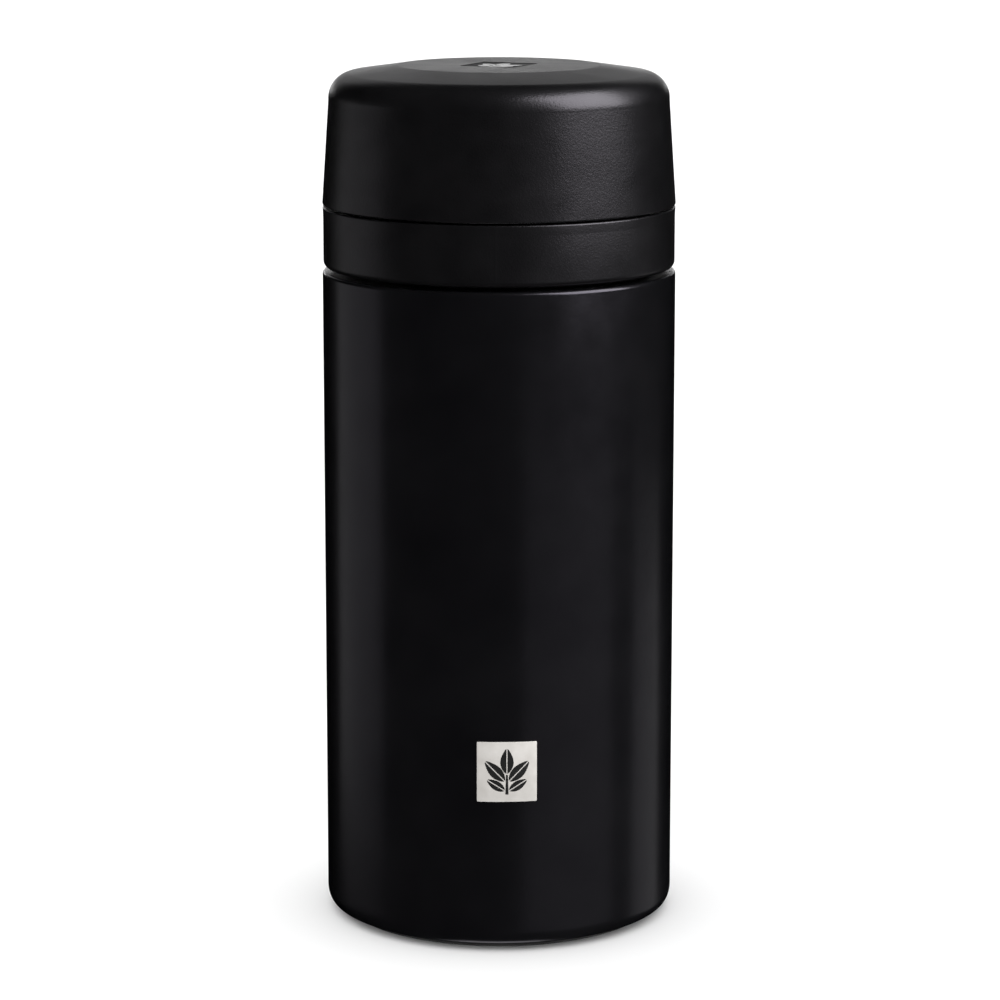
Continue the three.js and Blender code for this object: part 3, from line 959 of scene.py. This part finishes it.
def cap_shell():
    """The matt cap, tapered upward, with a rim that slopes to a flat disc and a pocket for its badge."""
    edge, crease, inner_top = 0.35, 3, CAP_TOP - TOP_WALL
    outline = [
        (0, inner_top),
        (DISC_R, inner_top),
        *reversed(crown(CAP_WALL)),
        (CAP_R - CAP_WALL, CAP_BOTTOM, 0.3),
        (CAP_R, CAP_BOTTOM, edge),
        *crown(0),
        (DISC_R, CAP_TOP, crease),
        (0, CAP_TOP),
    ]
    angles = even_angles(192)
    piece = turned("cap_shell_matt", rounded(outline), angles=angles)
    side = cap_badge_side() + 0.2
    pocket = prisms("pocket", [square(side, side, 0.6)], CAP_TOP - 0.9, CAP_TOP + 1)
    pocket.data.transform(Matrix.Rotation(BADGE_TURN, 4, "Z"))
    cut = piece.modifiers.new("pocket", "BOOLEAN")
    cut.object = pocket
    cut.solver = "EXACT"
    apply_modifiers(piece)
    bpy.data.objects.remove(pocket)
    piece.data.set_sharp_from_angle(angle=radians(30))
    finish_piece(piece, "cap", "cap_shell", "matt_plastic", MATT)


def cap_liner():
    """The inside of the cap: a threaded cup with a flange to the shell and a lip for the gasket."""
    flange, bottom, top = extent("cap_liner")
    outer, inner, lip_outer, lip_inner = 31.6, 30, 25.1, 24.3
    ceiling, lip_bottom = CAP_BOTTOM + 15.68, CAP_BOTTOM + 13.88
    corners = [
        (0, ceiling),
        (lip_inner, ceiling, 0.3),
        (lip_inner, lip_bottom, 0.3),
        (lip_outer, lip_bottom, 0.3),
        (lip_outer, ceiling, 0.2),
        (inner, ceiling, 0.6),
        (inner, bottom, 0.5),
        (flange, bottom, 0.5),
        (flange, CAP_BOTTOM + 1.68, 0.2),
        (outer, CAP_BOTTOM + 1.68, 0.4),
        (outer, top, 1.2),
        (0, top),
    ]
    offset = extent("collar_sleeve")[2] + PITCH / 2
    thread = {"low": CAP_BOTTOM + 1.7, "high": CAP_BOTTOM + 11.2, "offset": offset}

    def threads(angle, r, z):
        if abs(r - inner) < 1e-6:
            return r - ridge(angle, z, **thread), z
        return r, z

    piece = turned("cap_liner_moulded", dense(rounded(corners), inner), threads)
    finish_piece(piece, "cap", "cap_liner", "inner_plastic", INNER_PLASTIC)


def cap_insulation():
    """A block of foam that fills the cap above its liner."""
    radius, bottom, top = extent("cap_insulation")
    corners = [
        (0, bottom),
        (radius, bottom, 0.6),
        (radius, CAP_BOTTOM + 23.9, 0.8),
        (28.5, CAP_BOTTOM + 24.8, 0.8),
        (20, top, 0.8),
        (0, top),
    ]
    finish_piece(turned("cap_foam", rounded(corners)), "cap", "cap_insulation", "foam", foam())


def top_badge():
    """The dark badge let into the top of the cap, with the mark in grey enamel."""
    side = cap_badge_side()
    bottom, top = extent("cap_badge")[1:]
    turn = Matrix.Rotation(BADGE_TURN, 4, "Z")
    dark = Look("badge_black", (0.006, 0.006, 0.0065), 0.5, IOR=1.35)
    dark.color(dark.noise(2, 2), (0.005, 0.005, 0.0055), (0.007, 0.007, 0.0075))
    plate = prisms("cap_badge_plate", [square(side, side, 0.5)], bottom, top, 0.06)
    plate.data.transform(turn)
    finish_piece(plate, "cap", "cap_badge", "badge_black", dark.material)
    mark = prisms("cap_badge_mark", sprig(0.98), top - 0.05, top + 0.015)
    mark.data.transform(turn)
    mark.data.materials.append(enamel("grey_enamel", (0.3, 0.3, 0.3), 0.3))
    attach(mark, "cap")


# ---------- Everything on the flask ----------

for make in (
    outer_shell,
    inner_bottle,
    radiation_foil,
    outer_base,
    sealing_bead,
    getter,
    base_cover,
    foot_ring,
    front_badge,
    collar_gasket,
    collar_sleeve,
    collar_core,
    strainer_basket,
    strainer_seal,
    cap_gasket,
    cap_shell,
    cap_liner,
    cap_insulation,
    top_badge,
):
    make()

# ---------- Floor, lights and camera ----------


def floor():
    """A large pale floor. As in the photograph, which is a cut-out, the flask doesn't mirror it."""
    radius, depth = 6000, 20
    disc = turned("floor", [(0, -depth), (radius, -depth), (radius, 0), (0, 0)], angles=even_angles(64))
    look = Look("floor", (0.9, 0.9, 0.9), 0.8)
    look.color(look.noise(900), (0.895, 0.895, 0.895), (0.905, 0.905, 0.905))
    disc.data.materials.append(look.material)
    disc.visible_glossy = False
    disc.visible_diffuse = False
    disc.visible_shadow = False
    return disc


LIGHT_DISTANCE = 1.3  # metres
MID_HEIGHT = 0.09  # metres, where the lights aim


def softbox(name, azimuth, elevation, width, height, radiance, unlit):
    """A soft light that covers width by height degrees as seen from the flask, around a place given in
    degrees from the front and above the horizon. It doesn't reach what is in the collection unlit."""
    turn, lift = radians(azimuth), radians(elevation)
    light = bpy.data.lights.new(name, "AREA")
    light.shape = "RECTANGLE"
    light.size = 2 * LIGHT_DISTANCE * tan(radians(width) / 2)
    light.size_y = 2 * LIGHT_DISTANCE * tan(radians(height) / 2)
    light.energy = pi * radiance * light.size * light.size_y
    lamp = bpy.data.objects.new(name, light)
    bpy.context.scene.collection.objects.link(lamp)
    way = Vector((sin(turn) * cos(lift), -cos(turn) * cos(lift), sin(lift)))
    lamp.location = Vector((0, 0, MID_HEIGHT)) + LIGHT_DISTANCE * way
    lamp.rotation_euler = way.to_track_quat("Z", "Y").to_euler()
    lamp.visible_camera = False
    lamp.light_linking.receiver_collection = unlit


def lights(ground):
    """Soft lights for the flask. The floor is lit by the white surroundings alone, so that it shows only a
    soft shadow close round the foot. It casts no shadow, so lights below it reach the flask."""
    world = bpy.context.scene.world or bpy.data.worlds.new("world")
    bpy.context.scene.world = world
    world.use_nodes = True
    world.node_tree.nodes["Background"].inputs["Color"].default_value = (1, 1, 1, 1)
    world.node_tree.nodes["Background"].inputs["Strength"].default_value = 1.58
    world.cycles_visibility.glossy = False
    unlit = bpy.data.collections.new("not_lit_by_lamps")
    unlit.objects.link(ground)
    unlit.collection_objects[0].light_linking.link_state = "EXCLUDE"
    softbox("key", 64, 32.5, 50, 54, 6.3, unlit)
    softbox("left_low", -108, -7, 46, 24, 0.26, unlit)
    softbox("right_low", 112, -20, 30, 16, 0.28, unlit)
    softbox("front_low", 45, -18, 60, 16, 0.17, unlit)
    softbox("back", 180, 23, 50, 38, 0.36, unlit)
    softbox("horizon", 180, 5, 40, 4, 2.3, unlit)
    softbox("table", 0, -90, 26, 26, 1.6, unlit)


def camera():
    """The photograph's viewpoint: a little left of the front and above the cap."""
    data = bpy.data.cameras.new("camera")
    data.sensor_width = 36
    data.lens = 132.6
    eye = bpy.data.objects.new("camera", data)
    bpy.context.scene.collection.objects.link(eye)
    turn, distance, height = radians(-2.5), 0.7579, 0.23675
    eye.location = (distance * sin(turn), -distance * cos(turn), height)
    target = Vector((0.0002, 0, 0.0872))
    eye.rotation_euler = (target - eye.location).to_track_quat("-Z", "Y").to_euler()
    bpy.context.scene.camera = eye


lights(floor())
camera()
bpy.context.scene.view_settings.view_transform = "Standard"
